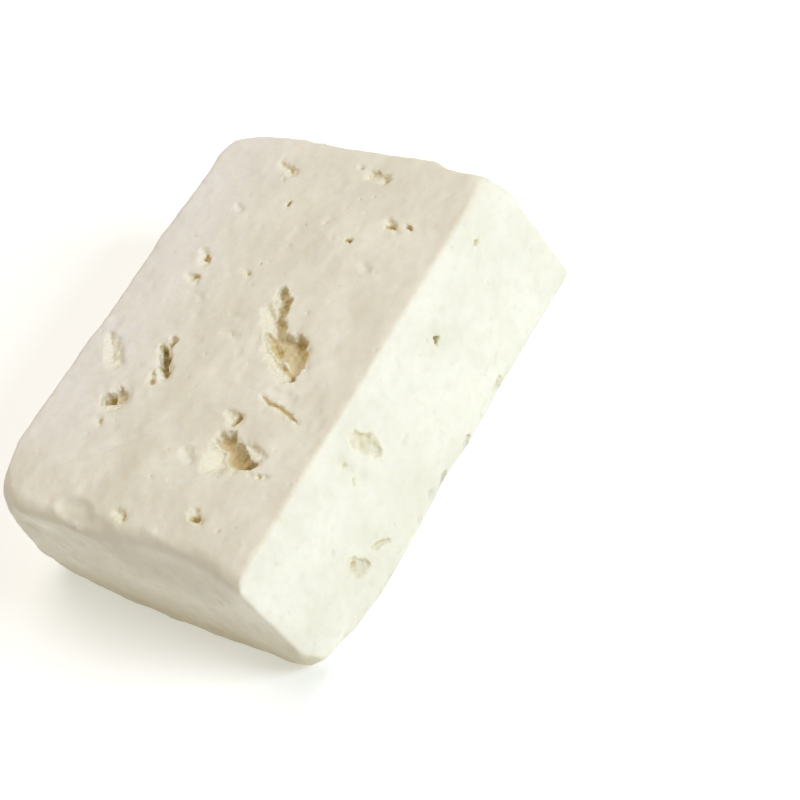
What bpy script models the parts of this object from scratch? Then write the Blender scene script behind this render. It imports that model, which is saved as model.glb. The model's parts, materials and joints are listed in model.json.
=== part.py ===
"""A block of semi-hard white brined cheese, cut by hand and lying on its largest face.

Run it with: blender --background --python part.py
Lengths are metres and +Z is up. +X runs along the block, the front long side faces -Y,
and the origin is under the middle of the block, on the surface that it rests on.
"""

import math
import random

import bmesh
import bpy
import numpy as np
from mathutils import Vector

MM = 0.001
SEED = 7

# Driving dimensions of the block
LENGTH = 103.0 * MM
WIDTH = 78.0 * MM
HEIGHT = 33.0 * MM

# The curd's colour and finish
CURD_COLOUR = (0.87, 0.83, 0.70, 1.0)
CURD_ROUGHNESS = 0.5

# The knife never cut square: how far each corner lies from the true box's, in mm.
# A key gives the corner's side in X, Y and Z, and a row its shift in X and Y.
CORNER_SHIFT = {
    (-1, -1, +1): (+0.7, +1.6),
    (+1, -1, +1): (+1.4, +4.0),
    (+1, +1, +1): (-1.7, -1.9),
    (-1, +1, +1): (+2.3, -2.3),
    (-1, -1, -1): (+0.8, -2.0),
    (+1, -1, -1): (+1.9, -1.0),
    (+1, +1, -1): (-0.9, -0.1),
    (-1, +1, -1): (+0.4, +2.3),
}

# How far each edge is rounded, in mm. The near end is at -X, the front at -Y.
EDGE_ROUND = {
    ("top", "front"): 0.8,
    ("top", "near"): 3.3,
    ("top", "back"): 1.4,
    ("top", "far"): 1.3,
    ("front", "near"): 0.9,
    ("front", "far"): 1.4,
    ("back", "near"): 5.2,
    ("back", "far"): 3.0,
    ("base", "front"): 1.2,
    ("base", "near"): 3.0,
    ("base", "back"): 2.4,
    ("base", "far"): 2.0,
}
EDGE_SEGMENTS = 4

# Corners worn round: the corner's sides and the radius of the ball that fits it, in mm.
WORN_CORNERS = {
    (-1, +1, +1): 5.6,
    (-1, +1, -1): 11.0,
    (-1, -1, -1): 5.6,
    (+1, +1, +1): 3.5,
    (+1, -1, +1): 3.0,
}
# Each ball is met by flat cuts that lean this way from the corner's three sides
WEAR_LEANS = ((1, 1, 1), (0.35, 1, 1), (1, 0.35, 1), (1, 1, 0.35))

# Gentle swellings and hollows of whole faces: face, place across and up it,
# half spans across and up, and height, in mm
BULGES = {
    "far_middle": ("far", 4.0, 33.0, 34.0, 70.0, 1.2),
    "far_front_corner": ("far", -28.5, 33.0, 9.5, 14.0, -1.7),
    "back_middle": ("back", -12.0, 33.0, 16.0, 40.0, 0.7),
    "back_near": ("back", 16.0, 33.0, 12.0, 40.0, 0.5),
    "back_near_corner": ("back", 36.0, 33.0, 8.0, 20.0, -0.5),
    "front_low": ("front", -23.0, 0.0, 18.0, 10.0, 0.7),
    "end_lean": ("near", 16.0, 37.0, 22.0, 19.0, -2.5),
    "end_brow": ("near", -23.0, 33.0, 9.0, 9.0, 1.0),
    "end_groove": ("top", -46.6, 10.5, 3.2, 6.0, -0.9),
    "end_groove_low": ("top", -49.0, 4.0, 3.6, 6.5, -1.0),
}
BULGE_REACH = 16.0 * MM

# Openings left by gas in the curd. On the top, places are measured from its middle.
# On a side, they are measured from its middle and from the base.
# Torn hollows with steep walls: face, depth, width of the wall, and a spine of places
# across and up the face with the hollow's half width at each, all in mm
HOLLOWS = {
    "main_arm": ("top", 2.1, 0.9, (
        (13.0, -4.5, 1.2), (10.5, -6.5, 1.9), (7.0, -7.8, 1.3), (4.0, -9.7, 1.6),
    )),
    "main_prong": ("top", 2.1, 0.9, ((3.0, -7.0, 0.8), (0.5, -10.5, 1.4))),
    "main_body": ("top", 2.1, 0.9, ((2.0, -10.0, 1.9), (1.2, -13.0, 2.7), (0.4, -16.0, 3.2))),
    "main_foot": ("top", 1.9, 0.9, ((0.0, -17.0, 2.4), (-2.5, -18.3, 1.9), (-5.0, -19.3, 1.1))),
    "slot": ("top", 2.8, 0.4, ((-6.4, 16.6, 0.5), (-9.2, 14.2, 0.9), (-12.2, 11.8, 0.5))),
    "slot_tail": ("top", 0.9, 0.5, ((-6.0, 14.8, 0.8), (-4.0, 14.8, 0.8))),
    "slot_dent": ("top", 0.8, 0.7, ((-15.0, 13.0, 0.7), (-13.0, 14.0, 0.6))),
    "pit": ("top", 1.8, 1.1, ((-21.4, 21.0, 1.9), (-19.8, 18.8, 1.6))),
    "hollow": ("top", 2.3, 1.0, (
        (-22.0, -12.5, 1.2), (-22.8, -15.0, 1.9), (-25.0, -18.2, 2.4),
        (-25.5, -20.5, 2.1), (-26.0, -23.5, 0.9),
    )),
    "front_hollow": ("front", 1.1, 1.4, (
        (-11.6, 27.0, 1.8), (-10.4, 23.5, 2.1), (-9.8, 20.0, 1.2),
    )),
    "front_pit": ("front", 1.1, 1.2, ((-29.8, 9.4, 1.9), (-29.0, 7.8, 1.9))),
    "front_nick": ("front", 0.7, 0.6, ((-24.5, 7.6, 0.7), (-21.0, 6.0, 0.7))),
}

# Shallow dishes with soft rims, in the same terms
DISHES = {
    "main_slope": ("top", 1.9, 2.4, ((-0.8, -9.0, 1.2), (-2.8, -13.0, 2.0), (-5.2, -17.6, 2.2))),
    "main_apron": ("top", 1.4, 2.0, ((8.0, -4.0, 2.0), (5.5, -6.5, 2.2), (2.5, -9.0, 2.2))),
    "core_apron": ("top", 0.5, 1.2, ((4.0, -14.0, 1.3), (1.5, -18.8, 1.6), (-2.2, -21.0, 1.2))),
    "pit_apron": ("top", 0.7, 2.2, ((-22.2, 19.8, 3.2), (-20.4, 17.8, 3.2))),
    "slot_apron": ("top", 1.1, 1.5, ((-6.8, 15.4, 2.0), (-12.2, 11.2, 2.0))),
    "dent": ("top", 1.3, 1.8, ((-7.4, 31.6, 1.5), (-12.0, 27.6, 2.0))),
    "dent_side": ("top", 0.9, 3.0, ((-8.6, 29.4, 2.6), (-12.8, 25.6, 3.0))),
    "hollow_apron": ("top", 2.4, 4.2, ((-25.5, -14.0, 4.0), (-27.0, -15.0, 4.4))),
    "hollow_rim": ("top", 0.4, 1.2, (
        (-21.0, -12.5, 1.2), (-22.0, -18.0, 1.6), (-25.2, -24.4, 1.8),
    )),
    "hollow_streak": ("top", 0.9, 1.6, ((-22.4, -20.6, 1.5), (-23.4, -25.0, 1.3))),
    "hollow_side": ("top", 0.6, 1.5, ((-27.2, -5.8, 1.4), (-28.8, -8.6, 1.7))),
    "hole_apron": ("top", 0.8, 1.4, ((-16.6, -11.0, 1.6), (-17.8, -13.2, 1.9))),
    "crack_side": ("top", 0.5, 1.6, ((-9.3, -17.4, 1.6), (-9.8, -22.6, 1.8))),
    "far_dish": ("top", 0.8, 1.4, ((46.0, -6.0, 1.4), (45.4, -10.6, 1.8))),
    "far_streak": ("top", 0.8, 1.4, ((44.0, 18.0, 1.2), (42.6, 13.6, 1.6))),
    "ridge_dish": ("top", 0.7, 1.3, ((35.0, -18.4, 1.4), (33.2, -22.0, 1.0))),
    "back_dish": ("top", 0.7, 1.5, ((18.4, 22.8, 1.5), (15.6, 20.4, 1.7))),
    "back_dish_low": ("top", 0.6, 1.2, ((11.6, 22.4, 1.1), (10.6, 19.6, 1.3))),
    "back_spot": ("top", 0.6, 1.2, ((31.5, 22.5, 1.1), (30.5, 20.5, 1.2))),
    "left_dish": ("top", 0.4, 1.4, ((7.8, 17.0, 1.1), (6.8, 14.8, 1.3))),
    "small_dish": ("top", 0.45, 1.2, ((15.8, 8.6, 1.1), (15.0, 7.0, 1.0))),
    "near_dish": ("top", 0.8, 1.2, ((-44.0, 0.0, 1.3), (-44.8, -2.4, 1.4))),
    "near_pit_apron": ("top", 0.7, 1.2, ((-39.0, -18.0, 1.4), (-40.4, -20.4, 1.4))),
    "low_dish": ("top", 0.5, 1.4, ((-28.2, -25.2, 1.2), (-27.6, -29.0, 1.2))),
    "left_low_dish": ("top", 0.5, 1.3, ((-26.6, 20.4, 1.0), (-27.4, 18.6, 1.1))),
    "middle_dish": ("top", 0.35, 1.6, ((0.4, 3.6, 1.1), (0.4, 0.2, 1.5))),
    "middle_dish_side": ("top", 0.3, 1.4, ((5.0, 4.4, 0.9), (4.6, 1.0, 1.1))),
    "right_dish": ("top", 0.4, 1.6, ((23.6, -19.0, 1.5), (22.6, -20.8, 1.6))),
    "front_low": ("front", 0.45, 1.8, ((-17.6, 28.0, 1.8), (-16.4, 20.0, 2.0))),
    "front_hole_apron": ("front", 0.3, 1.4, ((16.8, 24.0, 1.6), (17.0, 20.4, 1.8))),
}

# Pockets: face, place across and up it, length, breadth and depth in mm, turn in degrees
POCKETS = {
    "main_core": ("top", 2.5, -16.0, 5.0, 3.4, 3.1, 80),
    "main_core_foot": ("top", 1.0, -18.0, 4.0, 2.0, 2.7, 25),
    "main_slot": ("top", 11.0, -6.5, 5.5, 2.2, 3.0, 45),
    "main_neck": ("top", 6.5, -8.0, 2.5, 1.5, 2.8, 45),
    "main_left": ("top", 0.0, -11.0, 3.5, 1.8, 3.0, 60),
    "main_slit": ("top", 1.5, -9.0, 3.0, 1.5, 2.2, 55),
    "main_tip": ("top", -5.0, -19.0, 3.0, 2.2, 3.6, 45),
    "slot_deep": ("top", -9.0, 14.2, 8.5, 2.0, 5.4, 40),
    "slot_tail_deep": ("top", -5.0, 15.0, 2.5, 1.5, 1.8, 0),
    "slot_dent_deep": ("top", -14.5, 13.5, 2.5, 1.2, 1.5, 40),
    "pit_deep": ("top", -21.2, 21.3, 3.3, 2.9, 5.0, 60),
    "hollow_core": ("top", -26.0, -21.5, 5.0, 2.5, 5.2, 85),
    "hollow_body": ("top", -25.0, -18.5, 5.5, 3.5, 3.4, 75),
    "hollow_head": ("top", -22.0, -14.5, 4.5, 3.0, 2.2, 65),
    "hole_by_hollow": ("top", -17.5, -13.5, 2.5, 1.8, 2.6, 40),
    "near_pit": ("top", -40.0, -19.0, 2.5, 2.0, 2.4, 120),
    "near_spot": ("top", -44.5, -2.0, 1.5, 1.0, 1.2, 40),
    "far_hole": ("top", 35.0, 9.0, 2.0, 1.5, 2.2, 30),
    "far_streak_pit": ("top", 43.5, 15.0, 3.0, 1.2, 1.5, 70),
    "far_spot": ("top", 40.0, 15.0, 1.5, 1.0, 0.9, 110),
    "far_dish_pit": ("top", 45.5, -10.5, 2.5, 2.0, 1.5, 30),
    "far_dish_slit": ("top", 46.5, -7.0, 3.0, 1.0, 0.9, 100),
    "far_nick": ("top", 47.0, -2.5, 1.5, 0.8, 0.8, 90),
    "ridge_pit": ("top", 34.0, -19.5, 2.5, 1.5, 1.9, 70),
    "ridge_spot": ("top", 34.5, -24.0, 2.0, 1.2, 1.5, 60),
    "ridge_hole": ("top", 28.5, -12.0, 1.8, 1.4, 2.2, 60),
    "back_pit": ("top", 17.0, 21.0, 2.5, 1.2, 1.9, 35),
    "back_pit_low": ("top", 11.5, 20.5, 2.5, 1.0, 1.3, 100),
    "small_hole": ("top", 15.5, 7.5, 1.5, 1.2, 1.4, 60),
    "low_hole": ("top", -28.0, -26.5, 1.8, 1.0, 1.0, 80),
    "low_spot": ("top", -27.0, -28.5, 1.0, 1.0, 0.8, 0),
    "left_hole": ("top", -27.0, 19.5, 1.5, 0.9, 0.9, 60),
    "middle_hole": ("top", 0.5, 1.0, 1.2, 0.8, 0.7, 60),
    "edge_spot": ("top", -26.5, -35.5, 1.2, 1.0, 0.8, 0),
    "front_hole": ("front", 17.0, 22.0, 2.0, 1.8, 3.2, 120),
    "front_spot": ("front", 38.5, 26.5, 2.0, 1.2, 0.9, 150),
    "front_spot_low": ("front", 35.0, 18.0, 2.0, 0.8, 0.6, 150),
    "front_faint": ("front", -3.5, 16.0, 2.5, 1.5, 0.5, 50),
    "front_faint_left": ("front", -31.5, 16.5, 2.2, 1.0, 0.5, 60),
    "front_low_dent": ("front", -17.5, 21.5, 2.5, 1.5, 0.9, 125),
    "front_low_spot": ("front", -17.0, 25.5, 2.5, 1.2, 0.7, 90),
    "front_hollow_deep": ("front", -10.2, 24.0, 6.0, 3.0, 1.5, 105),
    "front_pit_deep": ("front", -29.5, 9.0, 3.0, 2.2, 1.7, 110),
}

# Cracks and creases: face, half width and depth in mm, line in mm
CRACKS = {
    "crack": ("top", 0.42, 1.8, (
        (-10.8, -15.5), (-12.2, -18.5), (-12.4, -21.5), (-13.2, -24.0), (-14.5, -28.0),
    )),
    "knife_line": ("top", 1.1, 0.32, ((-41.0, 26.0), (-34.0, 15.5), (-30.0, 10.0), (-26.5, 5.0))),
    "hollow_crease": ("top", 0.5, 0.5, ((-26.5, -5.0), (-26.5, -7.5), (-30.0, -10.0))),
    "main_crease": ("top", 0.6, 2.4, ((-3.0, -15.0), (-4.5, -18.5))),
    "head_crease": ("top", 0.6, 1.2, ((-22.5, -11.0), (-23.0, -13.0), (-24.0, -15.5))),
    "front_nick_crack": ("front", 0.5, 0.9, ((-25.0, 8.0), (-22.5, 7.3), (-20.5, 5.5))),
}

# Faces that no table row describes get a seeded scatter of the same openings
SCATTER_COUNT = {"back": 9, "far": 6, "base": 8}
SCATTER_MARGIN = 7.0 * MM
SMALL_OPENING = 1.3
LARGE_OPENING = 7.0
# A scattered pocket's breadth and depth, as shares of its length
SCATTER_BREADTH, SCATTER_DEPTH = 0.55, 0.42
# Smaller pockets break out of its side: their size and place are shares of its length,
# and their breadth and depth are shares of their own
SATELLITES = 3
SATELLITE_SIZE, SATELLITE_PLACE = (0.3, 0.65), (0.25, 0.55)
SATELLITE_BREADTH, SATELLITE_DEPTH = (0.4, 0.8), (0.25, 0.6)
# Scattered cracks: half width, depth, step and height above the base in mm
SCATTER_CRACKS = {"back": 3, "far": 2}
CRACK_HALF_WIDTH, CRACK_DEPTH = (0.22, 0.4), (0.6, 1.4)
CRACK_STEP, CRACK_STEPS, CRACK_BEND = 1.6, (4, 7), 0.6
CRACK_HEIGHT = (8.0, 25.0)

# Crumbs broken out along the front's lower edge
CHIP_COUNT = 15
CHIP_SMALL, CHIP_LARGE = 1.6, 4.6
CHIP_STRAY, CHIP_BREADTH = (0.1, 0.9), (0.3, 0.5)
CHIP_HEIGHT, CHIP_TURN = (0.6, 1.8), 15

# How outlines are torn: wavelengths and reach, in mm
TEAR = ((3.6, 0.26), (1.3, 0.08))
WAVES, WAVE_SPREAD = 9, (0.7, 1.4)
DISH_TEAR = 0.35
# How openings that overlap blend: a high power keeps the deeper one
BLEND = 4
# The raised lip outside a hollow's rim, in mm
LIP_HEIGHT, LIP_GAP, LIP_WIDTH, LIP_PATCH = 0.1, 0.5, 0.35, 3.0
# Seeds are spaced so that no two noises share one: steps for each face and each wave
FACE_SEEDS, WAVE_SEEDS, LIP_SEED = 100, 10, 50
# How bluntly a crack runs out at its ends
CRACK_END = 0.4
# An opening sinks what faces its own way at least this much, by the normal's share
FACING_LOW, FACING_HIGH = 0.35, 0.75

# Surface of the finished block: grid sizes of its first and its last skin
FIRST_VOXEL = 0.55 * MM
VOXEL = 0.6 * MM
SOFTEN_SHARE, SOFTEN_STEPS = 0.5, 2
SWELL_LENGTH = 19.0 * MM
SWELL_HEIGHT = 1.5 * MM
RIPPLE_LENGTH = 4.2 * MM
RIPPLE_HEIGHT = 0.34 * MM
TRIM = 0.6 * MM
MOST_TRIANGLES = 11500
# How readily triangles are merged away, by a share: in openings and elsewhere
KEEP_OPEN, KEEP_PLAIN = 0.2, 1.0
# An opening deeper than this, in mm, counts as one, and reaches this far into its face
SHALLOW = 0.25
OPENING_REACH = 6.5 * MM

# Each face's axis across, axis up and axis outward
FACE_AXES = {
    "top": (Vector((1, 0, 0)), Vector((0, 1, 0)), Vector((0, 0, 1))),
    "base": (Vector((1, 0, 0)), Vector((0, -1, 0)), Vector((0, 0, -1))),
    "front": (Vector((1, 0, 0)), Vector((0, 0, 1)), Vector((0, -1, 0))),
    "back": (Vector((-1, 0, 0)), Vector((0, 0, 1)), Vector((0, 1, 0))),
    "near": (Vector((0, -1, 0)), Vector((0, 0, 1)), Vector((-1, 0, 0))),
    "far": (Vector((0, 1, 0)), Vector((0, 0, 1)), Vector((1, 0, 0))),
}
FACE_OF_SIDE = {
    (0, -1): "near", (0, 1): "far", (1, -1): "front",
    (1, 1): "back", (2, -1): "base", (2, 1): "top",
}


def clear_scene():
    """Remove every object that the file opened with."""
    for old in list(bpy.data.objects):
        bpy.data.objects.remove(old, do_unlink=True)


def new_collection(name):
    collection = bpy.data.collections.new(name)
    bpy.context.scene.collection.children.link(collection)
    return collection


def new_object(name, bm, collection, parent):
    """Make an object from a bmesh and free the bmesh."""
    mesh = bpy.data.meshes.new(name)
    bm.to_mesh(mesh)
    bm.free()
    made = bpy.data.objects.new(name, mesh)
    collection.objects.link(made)
    made.parent = parent
    return made


def new_cutter(name, bm, collection, parent):
    cutter = new_object(name, bm, collection, parent)
    cutter.hide_render = True
    cutter.display_type = "WIRE"
    return cutter


def vertex_array(mesh):
    """The mesh's vertex places as an array, one row each."""
    values = np.empty(len(mesh.vertices) * 3, dtype=np.float32)
    mesh.vertices.foreach_get("co", values)
    return values.reshape(-1, 3)


def apply_modifiers(target):
    """Replace an object's mesh by its evaluated one and drop its modifiers."""
    bpy.context.view_layer.update()
    evaluated = target.evaluated_get(bpy.context.evaluated_depsgraph_get())
    mesh = bpy.data.meshes.new_from_object(evaluated)
    target.modifiers.clear()
    old = target.data
    target.data = mesh
    bpy.data.meshes.remove(old)


def curd_material():
    material = bpy.data.materials.new("curd")
    material.use_nodes = True
    shader = material.node_tree.nodes["Principled BSDF"]
    shader.inputs["Base Color"].default_value = CURD_COLOUR
    shader.inputs["Roughness"].default_value = CURD_ROUGHNESS
    shader.inputs["Metallic"].default_value = 0.0
    return material


def corner_place(side):
    """Where the cut corner on these three sides lies, below the trim for a base corner."""
    shift_x, shift_y = CORNER_SHIFT[side]
    height = HEIGHT if side[2] > 0 else -TRIM
    return Vector((
        side[0] * LENGTH / 2 + shift_x * MM,
        side[1] * WIDTH / 2 + shift_y * MM,
        height,
    ))


def side_of(point):
    return tuple(1 if part > 0 else -1 for part in point)


def edge_faces(start, end):
    """The two faces that share the edge between two corners, named by their sides."""
    first, second = side_of(start), side_of(end)
    shared = [(axis, first[axis]) for axis in range(3) if first[axis] == second[axis]]
    return {FACE_OF_SIDE[key] for key in shared}


def make_block(collection, parent):
    """The hand-cut box, with a bevel weight on each edge for its own rounding."""
    bm = bmesh.new()
    bmesh.ops.create_cube(bm, size=2.0)
    weight = bm.edges.layers.float.new("bevel_weight_edge")
    widest = max(EDGE_ROUND.values())
    rounding = {frozenset(faces): width for faces, width in EDGE_ROUND.items()}
    for edge in bm.edges:
        faces = edge_faces(edge.verts[0].co, edge.verts[1].co)
        edge[weight] = rounding[frozenset(faces)] / widest
    for corner in bm.verts:
        corner.co = corner_place(side_of(corner.co))
    block = new_object("cheese", bm, collection, parent)
    bevel = block.modifiers.new("rounded_edges", "BEVEL")
    bevel.limit_method = "WEIGHT"
    bevel.width = widest * MM
    bevel.segments = EDGE_SEGMENTS
    return block


def plane_waves(points, wavelength, seed):
    """Even noise between about -1 and 1: waves that cross in random directions."""
    rng = np.random.default_rng(seed)
    total = np.zeros(len(points))
    for _ in range(WAVES):
        direction = rng.normal(size=points.shape[1])
        pace = 2 * math.pi / (wavelength * rng.uniform(*WAVE_SPREAD))
        phase = rng.uniform(0, 2 * math.pi)
        total += np.sin(points @ (direction / np.linalg.norm(direction)) * pace + phase)
    return total * math.sqrt(2 / WAVES)


def torn(points, seed):
    """The points nudged about, so that a smooth outline laid over them looks torn."""
    moved = points.copy()
    for index, (wavelength, reach) in enumerate(TEAR):
        for axis in range(2):
            wave_seed = seed + WAVE_SEEDS * index + axis
            moved[:, axis] += reach * plane_waves(points, wavelength, wave_seed)
    return moved


def smooth_step(value):
    share = np.clip(value, 0.0, 1.0)
    return share * share * (3.0 - 2.0 * share)


def distance_inside(points, spine):
    """Each point's distance to the outline round a spine, above zero inside it."""
    inside = np.full(len(points), -np.inf)
    for start, end in zip(np.array(spine), np.array(spine[1:])):
        run = end[:2] - start[:2]
        share = np.clip((points - start[:2]) @ run / (run @ run), 0.0, 1.0)
        gap = np.linalg.norm(points - (start[:2] + share[:, None] * run), axis=1)
        inside = np.maximum(inside, start[2] + share * (end[2] - start[2]) - gap)
    return inside


def distance_to_line(points, line):
    """Each point's distance to a line of corners, and how far along it lies."""
    nearest = np.full(len(points), np.inf)
    along = np.zeros(len(points))
    steps = len(line) - 1
    for index in range(steps):
        start, end = np.array(line[index]), np.array(line[index + 1])
        run = end - start
        share = np.clip((points - start) @ run / (run @ run), 0.0, 1.0)
        gap = np.linalg.norm(points - (start + share[:, None] * run), axis=1)
        closer = gap < nearest
        nearest[closer] = gap[closer]
        along[closer] = (index + share[closer]) / steps
    return nearest, along


def scattered_rows(rng, face):
    """A pocket somewhere on the face, and smaller ones that break out of its side."""
    span_u = (LENGTH if face in ("back", "base") else WIDTH) / 2 - SCATTER_MARGIN
    across = rng.uniform(-span_u, span_u) / MM
    if face == "base":
        span_v = WIDTH / 2 - SCATTER_MARGIN
        up = rng.uniform(-span_v, span_v) / MM
    else:
        up = rng.uniform(SCATTER_MARGIN, HEIGHT - SCATTER_MARGIN) / MM
    length = SMALL_OPENING + (LARGE_OPENING - SMALL_OPENING) * rng.random() ** 2
    turn = rng.uniform(0, 180)
    yield face, across, up, length, length * SCATTER_BREADTH, length * SCATTER_DEPTH, turn
    for _ in range(SATELLITES):
        angle = rng.uniform(0, 2 * math.pi)
        reach = length * rng.uniform(*SATELLITE_PLACE)
        size = length * rng.uniform(*SATELLITE_SIZE)
        breadth = size * rng.uniform(*SATELLITE_BREADTH)
        depth = size * rng.uniform(*SATELLITE_DEPTH)
        place_u, place_v = across + reach * math.cos(angle), up + reach * math.sin(angle)
        yield face, place_u, place_v, size, breadth, depth, rng.uniform(0, 180)


def scattered_crack(rng, face):
    """A short wandering crack somewhere on the face."""
    span = (LENGTH if face == "back" else WIDTH) / 2 - SCATTER_MARGIN * 2
    across, up = rng.uniform(-span, span) / MM, rng.uniform(*CRACK_HEIGHT)
    heading = rng.uniform(0, 2 * math.pi)
    line = [(across, up)]
    for _ in range(rng.randint(*CRACK_STEPS)):
        heading += rng.uniform(-CRACK_BEND, CRACK_BEND)
        across += CRACK_STEP * math.cos(heading)
        up += CRACK_STEP * math.sin(heading)
        line.append((across, up))
    return face, rng.uniform(*CRACK_HALF_WIDTH), rng.uniform(*CRACK_DEPTH), tuple(line)


def chip_rows(rng):
    """Small pockets along the front's lower edge, one in each even stretch of it."""
    for index in range(CHIP_COUNT):
        share = (index + rng.uniform(*CHIP_STRAY)) / CHIP_COUNT
        across = (share - 0.5) * LENGTH / MM
        length = CHIP_SMALL + (CHIP_LARGE - CHIP_SMALL) * rng.random() ** 2
        breadth = length * rng.uniform(*CHIP_BREADTH)
        up = rng.uniform(*CHIP_HEIGHT)
        turn = rng.uniform(-CHIP_TURN, CHIP_TURN)
        yield "front", across, up, length, breadth, breadth / 2, turn


def all_rows():
    """Every pocket and every crack: the known ones and the scattered ones."""
    pockets = list(POCKETS.values())
    cracks = list(CRACKS.values())
    rng = random.Random(SEED)
    for face, count in SCATTER_COUNT.items():
        for _ in range(count):
            pockets.extend(scattered_rows(rng, face))
    for face, count in SCATTER_CRACKS.items():
        for _ in range(count):
            cracks.append(scattered_crack(rng, face))
    pockets.extend(chip_rows(random.Random(SEED + 1)))
    return pockets, cracks


def hollow_depth(gap, hollow):
    """A torn hollow's depth by the distance to its rim: steep walls and an even floor."""
    _, depth, wall, _ = hollow
    share = np.clip(gap / wall, 0.0, 1.0)
    return depth * np.sqrt(1.0 - (1.0 - share) ** 2)


def pocket_depth(points, pocket):
    """A pocket's depth at each point: half an egg, deepest in the middle."""
    _, across, up, length, breadth, depth, turn = pocket
    angle = math.radians(turn)
    offset = points - (across, up)
    along = offset @ (math.cos(angle), math.sin(angle)) / (length / 2)
    beside = offset @ (-math.sin(angle), math.cos(angle)) / (breadth / 2)
    return depth * np.sqrt(np.clip(1.0 - along**2 - beside**2, 0, 1))


def crack_depth(points, crack):
    """A crack's depth at each point: a sharp groove that runs out at its ends."""
    _, half_width, depth, line = crack
    gap, along = distance_to_line(points, line)
    fade = np.clip(np.sin(math.pi * along), 0, 1) ** CRACK_END
    return depth * fade * np.clip(1.0 - gap / half_width, 0, 1)


def sunk_depth(face, points, seed):
    """How far the openings sink a face at each of its points, all in mm."""
    moved = torn(points, seed)
    eased = points + (moved - points) * DISH_TEAR
    depths = [np.zeros(len(points))]
    lip = np.zeros(len(points))
    for hollow in HOLLOWS.values():
        if hollow[0] == face:
            gap = distance_inside(moved, hollow[3])
            depths.append(hollow_depth(gap, hollow))
            lip = np.maximum(lip, np.exp(-(((gap + LIP_GAP) / LIP_WIDTH) ** 2)))
    for row_face, depth, wall, spine in DISHES.values():
        if row_face == face:
            depths.append(depth * smooth_step(distance_inside(eased, spine) / wall))
    pockets, cracks = all_rows()
    depths += [pocket_depth(moved, pocket) for pocket in pockets if pocket[0] == face]
    depths += [crack_depth(eased, crack) for crack in cracks if crack[0] == face]
    blended = sum(depth**BLEND for depth in depths) ** (1 / BLEND)
    patches = np.clip(plane_waves(points, LIP_PATCH, seed + LIP_SEED), 0, 1)
    return blended - LIP_HEIGHT * lip * patches


def face_points(places, face):
    axis_u, axis_v, _ = FACE_AXES[face]
    return np.stack([places @ axis_u, places @ axis_v], axis=1) / MM


def bulge_faces(mesh):
    """Swell or hollow whole faces, fading out inside the block."""
    places = vertex_array(mesh).astype(np.float64)
    for face, across, up, half_across, half_up, height in BULGES.values():
        outward = np.array(FACE_AXES[face][2])
        offset = (face_points(places, face) - (across, up)) / (half_across, half_up)
        towards = places @ outward
        nearness = smooth_step(1.0 - (towards.max() - towards) / BULGE_REACH)
        swell = smooth_step(1.0 - (offset**2).sum(axis=1))
        places += outward * (height * MM * nearness * swell)[:, None]
    mesh.vertices.foreach_set("co", places.astype(np.float32).ravel())
    mesh.update()


def sink_openings(mesh):
    """Press every face's openings into the mesh, straight in from that face."""
    places = vertex_array(mesh).astype(np.float64)
    normals = np.empty(len(mesh.vertices) * 3, dtype=np.float32)
    mesh.vertex_normals.foreach_get("vector", normals)
    normals = normals.reshape(-1, 3)
    moved = places.copy()
    for index, (face, (_, _, outward)) in enumerate(FACE_AXES.items()):
        facing = normals @ np.array(outward)
        chosen = facing > FACING_LOW
        depth = sunk_depth(face, face_points(places[chosen], face), SEED + FACE_SEEDS * index)
        fade = smooth_step((facing[chosen] - FACING_LOW) / (FACING_HIGH - FACING_LOW))
        moved[chosen] -= np.array(outward) * (depth * fade * MM)[:, None]
    mesh.vertices.foreach_set("co", moved.astype(np.float32).ravel())
    mesh.update()


def make_worn_corner(name, side, radius, collection, parent):
    """Slabs outside a corner, each touching the ball that rounds it."""
    ball = corner_place(side) - Vector(side) * radius
    for index, lean in enumerate(WEAR_LEANS):
        outward = (Vector(side) * Vector(lean)).normalized()
        bm = bmesh.new()
        bmesh.ops.create_cube(bm, size=HEIGHT)
        turn = outward.to_track_quat("Z", "Y").to_matrix().to_4x4()
        turn.translation = ball + outward * (HEIGHT / 2 + radius)
        bmesh.ops.transform(bm, matrix=turn, verts=bm.verts)
        new_cutter(f"{name}_{index}", bm, collection, parent)


def make_worn_corners(collection, parent):
    for index, (side, radius) in enumerate(WORN_CORNERS.items()):
        make_worn_corner(f"worn_{index}", side, radius * MM, collection, parent)


def make_table(collection, parent):
    """The slab under the block whose top face trims it flat."""
    bm = bmesh.new()
    bmesh.ops.create_cube(bm, size=2 * LENGTH)
    bmesh.ops.translate(bm, verts=bm.verts, vec=(0, 0, -LENGTH))
    return new_cutter("table", bm, collection, parent)


def add_cut(block, name, operand):
    cut = block.modifiers.new(name, "BOOLEAN")
    cut.operation = "DIFFERENCE"
    cut.solver = "EXACT"
    if isinstance(operand, bpy.types.Collection):
        cut.operand_type = "COLLECTION"
        cut.collection = operand
    else:
        cut.object = operand


def add_skin(block, voxel):
    """One even skin over whatever was cut or pushed, with its corners eased."""
    skin = block.modifiers.new("skin", "REMESH")
    skin.mode = "VOXEL"
    skin.voxel_size = voxel
    soften = block.modifiers.new("soften", "SMOOTH")
    soften.factor = SOFTEN_SHARE
    soften.iterations = SOFTEN_STEPS


def add_unevenness(block, name, wavelength, height):
    """Push the surface in and out along its normals by a cloudy noise."""
    clouds = bpy.data.textures.new(name, "CLOUDS")
    clouds.noise_scale = wavelength
    clouds.noise_depth = 1
    push = block.modifiers.new(name, "DISPLACE")
    push.texture = clouds
    push.texture_coords = "LOCAL"
    push.mid_level = 0.5
    push.strength = height


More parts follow.
